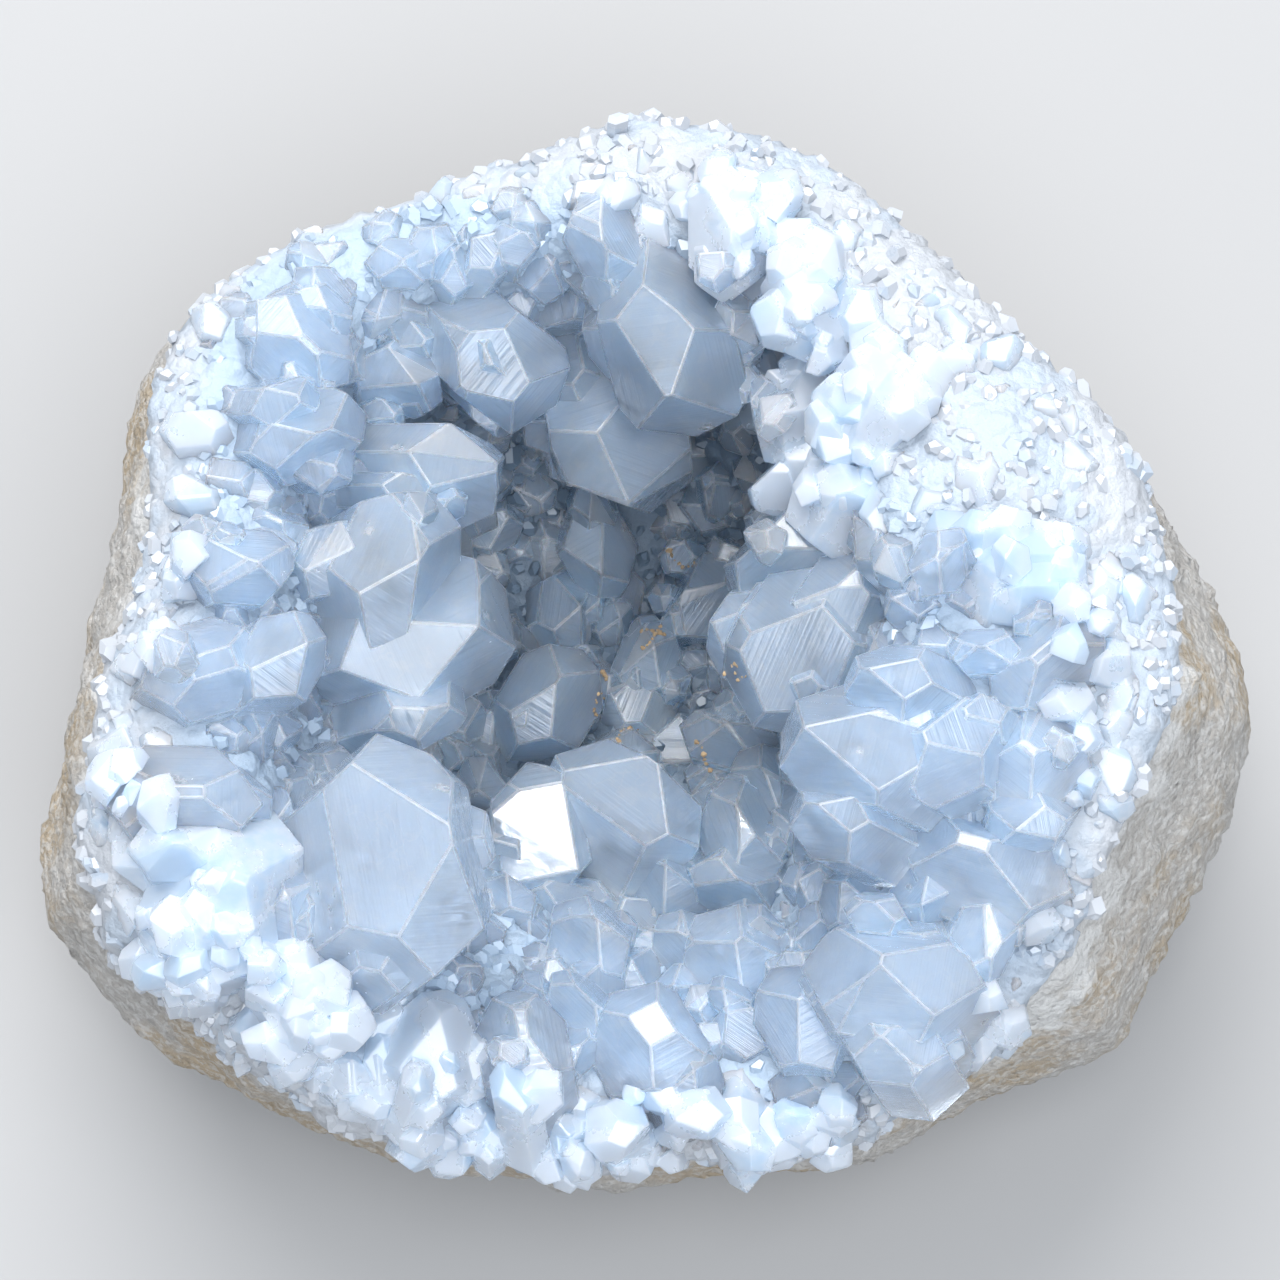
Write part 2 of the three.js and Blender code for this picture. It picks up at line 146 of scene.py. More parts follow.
# The habit of the crystals.
LONG_FACE_ANGLE = 38
END_FACE_ANGLE = 38
GABLE_FACE_ANGLE = 51
UNEVENNESS = 0.09
ROOT_DEPTH = 0.35
TOLERANCE = 1e-6
FLAT_ANGLE = math.radians(2)
WORD = 0xFFFFFFFF


class SeededDraws:
    """Repeatable numbers from 0 to 1."""

    def __init__(self, seed):
        self.state = seed
        self.next()

    def next(self):
        self.state = (self.state + 0x6D2B79F5) & WORD
        t = self.state
        t = ((t ^ (t >> 15)) * (t | 1)) & WORD
        t ^= (t + ((t ^ (t >> 7)) * (t | 61))) & WORD
        return ((t ^ (t >> 14)) & WORD) / (WORD + 1)

    def uneven(self):
        return 1 + UNEVENNESS * (2 * self.next() - 1)


def smoothstep(low, high, values):
    share = np.clip((values - low) / (high - low), 0, 1)
    return share * share * (3 - 2 * share)


# Settings that a user would change

class RockSettings(bpy.types.PropertyGroup):
    voxel: bpy.props.FloatProperty(
        name="Mesh Step", description="Spacing of the rock's mesh", default=0.75 * MM, unit="LENGTH")
    lump_height: bpy.props.FloatProperty(
        name="Lumps", description="Height of the broad lumps", default=0.9 * MM, unit="LENGTH")
    knob_height: bpy.props.FloatProperty(
        name="Knobs", description="Height of the knobs and pits", default=1.4 * MM, unit="LENGTH")
    grain_height: bpy.props.FloatProperty(
        name="Grain", description="Height of the coarse grain", default=0.6 * MM, unit="LENGTH")
    tan: bpy.props.FloatVectorProperty(
        name="Tan", description="Colour of the stained rock", subtype="COLOR", default=(0.35, 0.285, 0.205))
    grey: bpy.props.FloatVectorProperty(
        name="Grey", description="Colour of the clean rock", subtype="COLOR", default=(0.36, 0.345, 0.33))
    white: bpy.props.FloatVectorProperty(
        name="White", description="Colour of the sugary rock at the rim", subtype="COLOR",
        default=(0.54, 0.54, 0.54))


class CrystalSettings(bpy.types.PropertyGroup):
    bevel: bpy.props.FloatProperty(
        name="Edge", description="Width of the worn crystal edges", default=0.15 * MM, unit="LENGTH")
    lining: bpy.props.FloatProperty(
        name="Lining", description="Thickness of the sugary lining", default=2.0 * MM, unit="LENGTH")
    small_count: bpy.props.IntProperty(
        name="Small Crystals", description="Crystals between the large ones", default=680)
    encrusting_count: bpy.props.IntProperty(
        name="Encrusting", description="Small crystals on the faces of the larger ones along the rim", default=300)
    druse_count: bpy.props.IntProperty(
        name="Druse", description="Tiny crystals on the lining", default=3000)
    speck_count: bpy.props.IntProperty(
        name="Specks", description="Tan specks of dirt in the hollow", default=60)
    clear_blue: bpy.props.FloatVectorProperty(
        name="Clear Blue", description="Colour of the clear crystal", subtype="COLOR",
        default=(0.69, 0.82, 0.99))
    milky: bpy.props.FloatVectorProperty(
        name="Milky", description="Colour of the frosted crystal", subtype="COLOR",
        default=(0.90, 0.94, 1.0))
    # This colour also whitens every bevelled crystal edge: partly real wear, partly a painted edge highlight, besides
    # the frosted flecks.
    fleck_and_sheen: bpy.props.FloatVectorProperty(
        name="Fleck", description="Colour of the frosted flecks and worn edges", subtype="COLOR",
        default=(0.97, 0.98, 1.0))
    rim_blue: bpy.props.FloatVectorProperty(
        name="Rim Blue", description="Colour of the bluest small crystals of the rim", subtype="COLOR",
        default=(0.44, 0.57, 0.73))
    rim_white: bpy.props.FloatVectorProperty(
        name="Rim White", description="Colour of the whitest small crystals of the rim", subtype="COLOR",
        default=(0.60, 0.66, 0.75))
    sugar: bpy.props.FloatVectorProperty(
        name="Sugar", description="Colour of the whitest tiny crystals", subtype="COLOR",
        default=(0.33, 0.35, 0.385))
    sugar_shade: bpy.props.FloatVectorProperty(
        name="Sugar Shade", description="Colour of the bluest tiny crystals", subtype="COLOR",
        default=(0.27, 0.345, 0.44))
    # Painted shade: the deep hollow's tiny crystals are darkened to this slate to stand for the shadow there, not for
    # a colour of their own.
    deep_painted_shade: bpy.props.FloatVectorProperty(
        name="Sugar Deep", description="Colour of the tiny crystals in the deep hollow", subtype="COLOR",
        default=(0.10, 0.14, 0.19))
    speck: bpy.props.FloatVectorProperty(
        name="Speck", description="Colour of the dirt", subtype="COLOR", default=(0.24, 0.17, 0.10))


class StageSettings(bpy.types.PropertyGroup):
    floor: bpy.props.FloatVectorProperty(
        name="Floor", description="Colour of the floor", subtype="COLOR", default=(0.28, 0.28, 0.285))
    key_power: bpy.props.FloatProperty(
        name="Key Light", description="Power of the large soft light", default=8.5, unit="POWER")
    fill_power: bpy.props.FloatProperty(
        name="Fill Light", description="Power of the light from the front", default=5.5, unit="POWER")
    glint_power: bpy.props.FloatProperty(
        name="Glint Light", description="Power of the small light that the flat faces mirror", default=0.8,
        unit="POWER")
    sky_strength: bpy.props.FloatProperty(
        name="Sky", description="Strength of the light from all around", default=1.05)
    elevation: bpy.props.FloatProperty(
        name="Camera Elevation", description="Height of the view above level", subtype="ANGLE",
        default=math.radians(78))
    distance: bpy.props.FloatProperty(
        name="Camera Distance", description="From the camera to the middle of the view", default=420 * MM,
        unit="LENGTH")
    view_width: bpy.props.FloatProperty(
        name="View Width", description="Width that the picture takes in", default=106.2 * MM, unit="LENGTH")


def rock_settings():
    return bpy.context.scene.geode_rock


def crystal_settings():
    return bpy.context.scene.geode_crystals


def stage_settings():
    return bpy.context.scene.geode_stage


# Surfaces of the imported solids

def tree_of(mesh):
    return BVHTree.FromPolygons(
        [v.co for v in mesh.vertices], [tuple(p.vertices) for p in mesh.polygons])


ROCK_TREE = tree_of(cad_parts[ROCK_NODE].data)
CRUST_TREE = tree_of(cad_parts[CRUST_NODE].data)


def rock_below(x, y):
    high = CAD_BOX[1].z + 1
    return ROCK_TREE.ray_cast(Vector((x, y, high)), -UP)[0]


def coordinates(mesh):
    values = np.empty(3 * len(mesh.vertices))
    mesh.vertices.foreach_get("co", values)
    return values.reshape(-1, 3)


def normals(mesh):
    values = np.empty(3 * len(mesh.vertices))
    mesh.vertices.foreach_get("normal", values)
    return values.reshape(-1, 3)


def set_coordinates(mesh, points):
    mesh.vertices.foreach_set("co", np.ascontiguousarray(points).ravel())
    mesh.update()


def set_attribute(mesh, name, values, domain="POINT"):
    attribute = mesh.attributes.new(name, "FLOAT", domain)
    attribute.data.foreach_set("value", np.ascontiguousarray(values, dtype=np.float32))


def crust_distance(points):
    return np.array([CRUST_TREE.find_nearest(p)[3] for p in points])


FROST_WIDTH = 7.5 * MM  # of the white, frosted rim, on average
FROST_SWING = 5 * MM
FROST_EXTRA = 11 * MM
FROST_BEARING = math.radians(25)  # the frosted rim is widest on this side, and wide on the opposite one
FROST_SPREAD = 1.2
LEAST_SPREAD = 0.45
FROST_LEVEL = 27 * MM  # the outer wall is found no higher than this
BEYOND = 0.2


def wall_depths(points):
    """How far inside the stone's outer wall points lie, on the level."""
    depths = []
    for point in points:
        level = Vector((point[0], point[1], 0))
        out = level.normalized()
        hit = ROCK_TREE.ray_cast(out * BEYOND + UP * min(point[2], FROST_LEVEL), -out)[0]
        depths.append(0.0 if hit is None else math.hypot(hit.x, hit.y) - level.length)
    return np.array(depths)


def frosted(points):
    """1 near the stone's outer wall, falling to 0 inside it."""
    points = np.array(points)
    side = np.arctan2(points[:, 1], points[:, 0]) - FROST_BEARING
    width = FROST_WIDTH + FROST_SWING * np.cos(2 * side) + FROST_EXTRA * np.maximum(0, np.cos(side))
    return smoothstep(0.0, 0.7, 1.3 - wall_depths(points) / width)


def frost_spread(points):
    """How much further than elsewhere the lining reaches down the outer wall."""
    side = np.arctan2(points[:, 1], points[:, 0]) - FROST_BEARING
    return np.maximum(LEAST_SPREAD, 1 + FROST_SPREAD * np.cos(2 * side))


def field(points, span, offset=0.0):
    """Smooth noise from -1 to 1 whose features are about span across."""
    shift = Vector((offset, offset, offset))
    return np.array([noise.noise(Vector(p) / span + shift) for p in points])


def cells(points, span, offset=0.0):
    """Rounded grains: 1 in the middle of each cell, near 0 where cells meet."""
    shift = Vector((offset, offset, offset))
    near = np.array([noise.voronoi(Vector(p) / span + shift)[0][:2] for p in points])
    return np.clip(near[:, 1] - near[:, 0], 0, 1)


def even_rock_mesh():
    """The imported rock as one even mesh, with its facets rounded off."""
    work = bpy.data.objects.new("even_rock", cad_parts[ROCK_NODE].data.copy())
    bpy.context.scene.collection.objects.link(work)
    remesh = work.modifiers.new("even", "REMESH")
    remesh.mode = "VOXEL"
    remesh.voxel_size = rock_settings().voxel
    smooth = work.modifiers.new("round", "SMOOTH")
    smooth.factor = 0.5
    smooth.iterations = 8
    shaped = work.evaluated_get(bpy.context.evaluated_depsgraph_get())
    mesh = bpy.data.meshes.new_from_object(shaped)
    bpy.data.objects.remove(work)
    return mesh


def add_piece(name, mesh, material, node):
    """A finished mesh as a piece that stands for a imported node."""
    piece = bpy.data.objects.new(name, mesh)
    bpy.context.scene.collection.objects.link(piece)
    mesh.materials.clear()
    mesh.materials.append(material)
    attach(piece, "root")
    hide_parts(node)
    return piece


# Crystal shapes

def crystal_planes(crystal, draws):
    """Outward normals and distances of the faces, for a crystal along +Z from a root at the origin, in metres."""
    half = crystal.across * MM / 2
    length = crystal.length * MM
    faces = [((0, 0, -1), ROOT_DEPTH * crystal.across * MM)]
    if crystal.blunt:
        faces.append(((0, 0, 1), crystal.blunt * length))
    long_angle = math.radians(LONG_FACE_ANGLE)
    end_angle = math.radians(END_FACE_ANGLE)
    gable_angle = math.radians(GABLE_FACE_ANGLE)
    for side in (-1, 1):
        for other in (-1, 1):
            normal = (side * math.cos(long_angle), other * math.sin(long_angle), 0)
            faces.append((normal, half * draws.uneven()))
        faces.append(((0, side, 0), crystal.flat * half * draws.uneven()))
        end = (side * math.sin(end_angle), 0, math.cos(end_angle))
        faces.append((end, math.cos(end_angle) * length * draws.uneven()))
        gable = (0, side * math.sin(gable_angle), math.cos(gable_angle))
        faces.append((gable, math.cos(gable_angle) * length * draws.uneven()))
    return np.array([f[0] for f in faces], float), np.array([f[1] for f in faces], float)


def corners_inside(face_normals, distances):
    """Corners of the solid inside all the planes, some of them more than once."""
    trios = np.array(list(itertools.combinations(range(len(distances)), 3)))
    matrices = face_normals[trios]
    meeting = np.abs(np.linalg.det(matrices)) > TOLERANCE
    corners = np.linalg.solve(matrices[meeting], distances[trios[meeting]][..., None])[..., 0]
    slack = TOLERANCE * np.abs(distances).max()
    return corners[(corners @ face_normals.T <= distances + slack).all(axis=1)]


def convex_shape(corners, merge):
    """A convex solid around corners, with its flat faces whole."""
    shape = bmesh.new()
    for corner in corners:
        shape.verts.new(corner)
    bmesh.ops.remove_doubles(shape, verts=shape.verts, dist=merge)
    hull = bmesh.ops.convex_hull(shape, input=shape.verts)
    loose = [v for v in hull["geom_interior"] + hull["geom_unused"] if isinstance(v, bmesh.types.BMVert)]
    bmesh.ops.delete(shape, geom=loose, context="VERTS")
    bmesh.ops.dissolve_limit(shape, angle_limit=FLAT_ANGLE, verts=shape.verts, edges=shape.edges)
    bmesh.ops.recalc_face_normals(shape, faces=shape.faces)
    return shape


def crystal_turn(crystal):
    return (
        Matrix.Rotation(math.radians(crystal.bearing), 4, "Z")
        @ Matrix.Rotation(math.radians(crystal.lean), 4, "Y")
        @ Matrix.Rotation(math.radians(crystal.spin), 4, "Z")
    )


CHIP_COUNT = (0, 4)
CHIP_DEPTH = (0.02, 0.07)  # as a share of the crystal's width


def chipped(face_normals, distances, across, chance):
    """The planes of a crystal with a few more that cut its outer corners and edges a little."""
    corners = corners_inside(face_normals, distances)
    extra_normals = []
    extra_distances = []
    for _ in range(chance.integers(*CHIP_COUNT)):
        way = chance.normal(size=3)
        way[2] = abs(way[2])
        way /= np.linalg.norm(way)
        extra_normals.append(way)
        extra_distances.append((corners @ way).max() - across * chance.uniform(*CHIP_DEPTH))
    if not extra_normals:
        return face_normals, distances
    return np.vstack([face_normals, extra_normals]), np.concatenate([distances, extra_distances])


MIRROR_BLUNT = 0.86  # crystals cut shorter than this keep their flat top in view
MIRROR_CLEAR = 2.0


class Grown:
    """A crystal in its place: its planes, its root, its direction and its length."""

    def __init__(self, crystal, root, draws, chance):
        self.crystal = crystal
        self.root = np.array(root)
        turn = np.array(crystal_turn(crystal).to_3x3())
        planes = crystal_planes(crystal, draws)
        local_normals, local_distances = chipped(*planes, crystal.across * MM, chance)
        self.corners = corners_inside(local_normals, local_distances) @ turn.T + self.root
        self.normals = local_normals @ turn.T
        self.distances = local_distances + self.normals @ self.root
        self.axis = turn[:, 2]
        self.length = crystal.length * MM
        middle = self.root + 0.5 * self.axis * self.length
        self.frost = float(frosted([middle])[0])
        self.tint = 0.55 * chance.uniform() + 0.45 * self.frost

    @property
    def is_mirror(self):
        return self.crystal.blunt is not None and self.crystal.blunt < MIRROR_BLUNT

    def mesh(self, bevel):
        shape = convex_shape(self.corners, 2 * bevel)
        bmesh.ops.bevel(
            shape, geom=list(shape.edges), offset=bevel, segments=2, profile=0.6, affect="EDGES",
            clamp_overlap=True)
        bmesh.ops.triangulate(shape, faces=shape.faces)
        mesh = bpy.data.meshes.new("crystal")
        shape.to_mesh(mesh)
        shape.free()
        return mesh


SIDE_SHARE = (0.25, 0.65)  # of a large crystal's size, for the smaller ones grown beside it in parallel
SIDE_LENGTH = (0.5, 0.97)
SIDE_OFFSET = (0.25, 0.55)


def parallel_growth(parent, mirrors, chance):
    """Smaller crystals that share the direction of a large one and stand half in its side."""
    grown = []
    crystal = parent.crystal
    if parent.is_mirror:
        return grown
    for _ in range(chance.integers(2, 6)):
        angle = chance.uniform(0, 2 * math.pi)
        away = crystal.across * MM * chance.uniform(*SIDE_OFFSET)
        turn = crystal_turn(crystal).to_3x3()
        root = Vector(parent.root) + turn @ Vector((away * math.cos(angle), away * math.sin(angle), 0))
        share = chance.uniform(*SIDE_SHARE)
        smaller = crystal._replace(
            across=crystal.across * share, length=crystal.length * chance.uniform(*SIDE_LENGTH),
            flat=chance.uniform(0.75, 1.0), blunt=None)
        reach = [0.7 * MM * (m.crystal.across + smaller.across) for m in mirrors]
        if any(np.linalg.norm(m.root - np.array(root)) < r for m, r in zip(mirrors, reach)):
            continue
        side = Grown(smaller, root, SeededDraws(int(chance.integers(1, WORD))), chance)
        side.tint = parent.tint
        grown.append(side)
    return grown


def large_crystals(chance):
    draws = SeededDraws(SEED)
    grown = []
    for crystal in LARGE_CRYSTALS:
        root = rock_below((crystal.x + GROWTH_SHIFT[0]) * MM, (crystal.y + GROWTH_SHIFT[1]) * MM)
        grown.append(Grown(crystal, root, draws, chance))
    return grown


SMALL_ACROSS = {"rim": (1.8, 4.8), "hollow": (2.2, 6.0)}
SMALL_LENGTH = {"rim": (0.6, 1.0), "hollow": (0.75, 1.25)}
SMALL_SPACING = 0.24
SMALL_UPRIGHT = 0.5
EDGE_ACROSS = 1.7  # crystals are no wider than this at the outer wall, and wider further in
EDGE_GROWTH = 0.42
SMALL_JITTER = 0.5
COVER_GAP = 0.6 * MM  # rock with the crust closer than this is covered by it


def surface_samples(mesh, polygons, count, chance):
    """Random points on some polygons of a mesh, evenly by area, with the surface's direction there."""
    areas = np.array([mesh.polygons[i].area for i in polygons])
    chosen = chance.choice(polygons, count, p=areas / areas.sum())
    for i in chosen:
        polygon = mesh.polygons[int(i)]
        a, b, c = (mesh.vertices[k].co for k in polygon.vertices[:3])
        u, v = sorted(chance.uniform(size=2))
        yield a * u + b * (v - u) + c * (1 - v), polygon.normal


def covered_polygons(mesh):
    middles = [p.center for p in mesh.polygons]
    near = crust_distance(middles)
    return np.flatnonzero(near < COVER_GAP)


def leaning(direction):
    lean = math.degrees(direction.angle(UP))
    return lean, math.degrees(math.atan2(direction.y, direction.x))


def small_crystals(large, chance, count):
    """Crystals at random places between the large ones, leaning off the wall."""
    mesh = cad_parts[ROCK_NODE].data
    covered = covered_polygons(mesh)
    roots = [g.root for g in large]
    widths = [g.crystal.across * (MIRROR_CLEAR if g.is_mirror else 1) for g in large]
    grown = []
    for root, wall in surface_samples(mesh, covered, 40 * count, chance):
        if len(grown) == count:
            break
        place = "rim" if frosted([root])[0] > 0.5 else "hollow"
        across = chance.uniform(*SMALL_ACROSS[place])
        across = min(across, EDGE_ACROSS + EDGE_GROWTH * wall_depths([root])[0] / MM)
        apart = np.linalg.norm(np.array(roots) - np.array(root), axis=1)
        if (apart < SMALL_SPACING * MM * (np.array(widths) + across)).any():
            continue
        jitter = Vector(chance.normal(size=3)) * SMALL_JITTER
        lean, bearing = leaning((wall * (1 - SMALL_UPRIGHT) + UP * SMALL_UPRIGHT + jitter).normalized())
        crystal = Crystal(
            0, 0, across, across * chance.uniform(*SMALL_LENGTH[place]), lean, bearing, chance.uniform(0, 360),
            chance.uniform(0.75, 1.0), None)
        grown.append(Grown(crystal, root, SeededDraws(int(chance.integers(1, WORD))), chance))
        roots.append(np.array(root))
        widths.append(across)
    return grown


ENCRUSTING_ACROSS = (1.6, 4.6)
ENCRUSTING_SPACING = 0.22
ENCRUSTING_JITTER = 0.45


def encrusting(crystals, chance, count):
    """Small crystals that grow on the faces of the larger ones along the rim."""
    middles = [p.center for p in crystals.polygons]
    up = np.array([p.normal.z for p in crystals.polygons])
    white = np.flatnonzero((frosted(middles) > 0.5) & (up > -0.2))
    roots = [np.full(3, BEYOND)]
    widths = [0.0]
    grown = []
    for root, wall in surface_samples(crystals, white, 12 * count, chance):
        if len(grown) == count:
            break
        across = chance.uniform(*ENCRUSTING_ACROSS)
        apart = np.linalg.norm(np.array(roots) - np.array(root), axis=1)
        if (apart < ENCRUSTING_SPACING * MM * (np.array(widths) + across)).any():
            continue
        jitter = Vector(chance.normal(size=3)) * ENCRUSTING_JITTER
        lean, bearing = leaning((wall + jitter).normalized())
        crystal = Crystal(
            0, 0, across, across * chance.uniform(0.35, 0.8), lean, bearing, chance.uniform(0, 360),
            chance.uniform(0.75, 1.0), None)
        grown.append(Grown(crystal, root, SeededDraws(int(chance.integers(1, WORD))), chance))
        roots.append(np.array(root))
        widths.append(across)
    return grown


JOIN_BATCH = 10


def joined_mesh(meshes):
    """One closed mesh around many closed meshes that overlap."""
    scene = bpy.context.scene
    solids = []
    for mesh in meshes:
        solid = bpy.data.objects.new("part", mesh)
        scene.collection.objects.link(solid)
        solids.append(solid)
    while len(solids) > 1:
        groups = [solids[i:i + JOIN_BATCH] for i in range(0, len(solids), JOIN_BATCH)]
        for first, *others in groups:
            for other in others:
                join = first.modifiers.new("join", "BOOLEAN")
                join.operation = "UNION"
                join.solver = "MANIFOLD"
                join.object = other
        graph = bpy.context.evaluated_depsgraph_get()
        results = [bpy.data.meshes.new_from_object(group[0].evaluated_get(graph)) for group in groups]
        for solid in solids:
            bpy.data.objects.remove(solid)
        solids = []
        for mesh in results:
            solid = bpy.data.objects.new("part", mesh)
            scene.collection.objects.link(solid)
            solids.append(solid)
    mesh = solids[0].data
    bpy.data.objects.remove(solids[0])
    return mesh


WEAR_AND_SHEEN_BELOW = 0.999  # faces that turn further than this from all of their crystal's planes are the bevelled edges, whitened as worn edges and as a painted edge highlight


def mark_growth(mesh, grown):
    """Stores the tint of each face's crystal, the bevelled edges (worn, and whitened as a painted highlight), and how
    far out along the crystal a corner lies.
    """
    count = len(mesh.polygons)
    middles = np.empty(3 * count)
    mesh.polygons.foreach_get("center", middles)
    middles = middles.reshape(-1, 3)
    owner = np.zeros(count, int)
    nearest = np.full(count, np.inf)
    for k, g in enumerate(grown):
        off = np.abs((middles @ g.normals.T - g.distances).max(axis=1))
        closer = off < nearest
        nearest[closer] = off[closer]
        owner[closer] = k
    set_attribute(mesh, "tint", np.array([g.tint for g in grown])[owner], "FACE")
    facing = np.empty(3 * count)
    mesh.polygons.foreach_get("normal", facing)
    facing = facing.reshape(-1, 3)
    # Bevelled edges: partly real wear, partly a painted edge highlight, whitened in the crystal material.
    wear_and_sheen = np.zeros(count)
    for k, g in enumerate(grown):
        own = np.flatnonzero(owner == k)
        wear_and_sheen[own] = (facing[own] @ g.normals.T).max(axis=1, initial=0) < WEAR_AND_SHEEN_BELOW
    set_attribute(mesh, "wear_and_sheen", wear_and_sheen, "FACE")
    totals = np.empty(count, int)
    mesh.polygons.foreach_get("loop_total", totals)
    corner_owner = np.repeat(owner, totals)
    vertex = np.empty(len(mesh.loops), int)
    mesh.loops.foreach_get("vertex_index", vertex)
    points = coordinates(mesh)[vertex]
    roots = np.array([g.root for g in grown])[corner_owner]
    axes = np.array([g.axis for g in grown])[corner_owner]
    lengths = np.array([g.length for g in grown])[corner_owner]
    share = np.einsum("ij,ij->i", points - roots, axes) / lengths
    set_attribute(mesh, "growth", np.clip(share, 0, 1), "CORNER")


# Rock, lining, druse and specks

LUMP_SPAN = 11 * MM
KNOB_SPAN = 4.2 * MM
GRAIN_SPAN = 1.5 * MM
BARE_FROM = (0.8 * MM, 3.5 * MM)  # the crust's distance over which the rock turns from covered to bare
FOOT_RISE = 3 * MM  # the rock is smooth up to here, so that it rests flat


def rough_rock_mesh(mesh):
    """The even rock with lumps, knobs and grain on its bare outside."""
    settings = rock_settings()
    points = coordinates(mesh)
    out = normals(mesh)
    away = crust_distance(points)
    bare = smoothstep(*BARE_FROM, away)
    raised = smoothstep(0, FOOT_RISE, points[:, 2])
    lumps = settings.lump_height * field(points, LUMP_SPAN, 3.1)
    knobs = settings.knob_height * (cells(points, KNOB_SPAN) - 0.35) * (0.6 + 0.4 * field(points, LUMP_SPAN, 7.7))
    grain = settings.grain_height * (cells(points, GRAIN_SPAN, 5.3) - 0.4)
    push = raised * bare * (lumps + knobs + grain)
    rough = mesh.copy()
    set_coordinates(rough, points + out * push[:, None])
    set_attribute(rough, "rim", 1 - smoothstep(1 * MM, 13 * MM, away))
    rough.shade_smooth()
    return rough


DEEP_SHADE_HEIGHTS = (22 * MM, 31 * MM)  # below this height the lining is in the deep hollow, and its colour fades to a painted shade there
LINING_FADE = (0.7 * MM, 3.4 * MM)
LINING_REACH = 4.2 * MM
LINING_SINK = 1.0 * MM
SUGAR_SPAN = 2.1 * MM
SUGAR_HEIGHT = 0.9 * MM


def lining_mesh(mesh):
    """A closed layer over the hollow and the rim that thins out to nothing on the rock's outside."""
    points = coordinates(mesh)
    out = normals(mesh)
    away = crust_distance(points) / frost_spread(points)
    cover = 1 - smoothstep(*LINING_FADE, away)
    sugar = SUGAR_HEIGHT * (cells(points, SUGAR_SPAN, 2.2) - 0.35) + 0.5 * SUGAR_HEIGHT * field(points, 3 * SUGAR_SPAN)
    push = cover * (crystal_settings().lining + sugar) - (1 - cover) * LINING_SINK
    kept = away < LINING_REACH
    top = [tuple(p.vertices) for p in mesh.polygons if kept[list(p.vertices)].all()]
    used = sorted({v for face in top for v in face})
    number = {v: i for i, v in enumerate(used)}
    top = [tuple(number[v] for v in face) for face in top]
    upper = (points + out * push[:, None])[used]
    lower = (points - out * 2 * LINING_SINK)[used]
    count = len(used)
    below = [tuple(v + count for v in reversed(face)) for face in top]
    steps = {}
    for face in top:
        for a, b in zip(face, face[1:] + face[:1]):
            steps[(a, b)] = True
    edge = [(b, a, a + count, b + count) for a, b in steps if (b, a) not in steps]
    lining = bpy.data.meshes.new("lining")
    lining.from_pydata(np.concatenate([upper, lower]).tolist(), [], top + below + edge)
    lining.update()
    lining.shade_smooth()
    set_attribute(lining, "cover", np.concatenate([cover[used], np.zeros(count)]))
    set_attribute(lining, "frosted", np.tile(frosted(upper), 2))
    # The deep mask carries a painted shade: the lining darkens towards the bottom of the hollow.
    set_attribute(lining, "deep", np.tile(1 - smoothstep(*DEEP_SHADE_HEIGHTS, upper[:, 2]), 2))
    return lining, len(top)


DRUSE_ACROSS = {"rim": (0.6, 1.6), "hollow": (0.6, 1.8)}
DRUSE_LENGTH = (0.8, 1.3)
DRUSE_SINK = 0.5  # share of the width below the lining's surface
DRUSE_JITTER = 0.5
DRUSE_SHAPES = 8


def druse_mesh(lining, top_count, chance, count):
    """Tiny crystals over the whole lining, as one mesh."""
    shapes = []
    for i in range(DRUSE_SHAPES):
        unit = Crystal(0, 0, 1 / MM, chance.uniform(0.9, 1.3) / MM, 0, 0, 0, chance.uniform(0.7, 1.0), None)
        shape = convex_shape(corners_inside(*crystal_planes(unit, SeededDraws(100 + i))), 0.02)
        corners = np.array([v.co for v in shape.verts])
        shapes.append((corners, [[v.index for v in face.verts] for face in shape.faces]))
        shape.free()
    points = []
    faces = []
    start = 0
    cover = np.empty(len(lining.vertices), np.float32)
    lining.attributes["cover"].data.foreach_get("value", cover)
    shown = np.array([
        i for i in range(top_count) if cover[list(lining.polygons[i].vertices)].min() > chance.uniform(0.02, 0.7)])
    for root, wall in surface_samples(lining, shown, count, chance):
        corners, sides = shapes[chance.integers(DRUSE_SHAPES)]
        place = "rim" if wall.z > 0.6 else "hollow"
        size = chance.uniform(*DRUSE_ACROSS[place]) * MM
        way = (wall + Vector(chance.normal(size=3)) * DRUSE_JITTER).normalized()
        turn = way.to_track_quat("Z", "Y").to_matrix() @ Matrix.Rotation(chance.uniform(0, 6.3), 3, "Z")
        scaled = corners * np.array([size, size, size * chance.uniform(*DRUSE_LENGTH) * 0.8])
        placed = scaled @ np.array(turn).T + np.array(root - way * DRUSE_SINK * size)
        points.append(placed)
        faces.extend([i + start for i in side] for side in sides)
        start += len(placed)
    mesh = bpy.data.meshes.new("druse")
    mesh.from_pydata(np.concatenate(points).tolist(), [], faces)
    mesh.update()
    set_attribute(mesh, "frosted", frosted(np.concatenate(points)))
    # The deep mask carries a painted shade: the druse darkens towards the bottom of the hollow.
    set_attribute(mesh, "deep", 1 - smoothstep(*DEEP_SHADE_HEIGHTS, np.concatenate(points)[:, 2]))
    return mesh


SPECK_SIZE = (0.1 * MM, 0.28 * MM)
SPECK_TRAIL = 8  # specks gather in short trails
SPECK_STEP = 0.35 * MM
SPECK_FIELD = (10 * MM, 16 * MM)  # half the hollow's width and depth


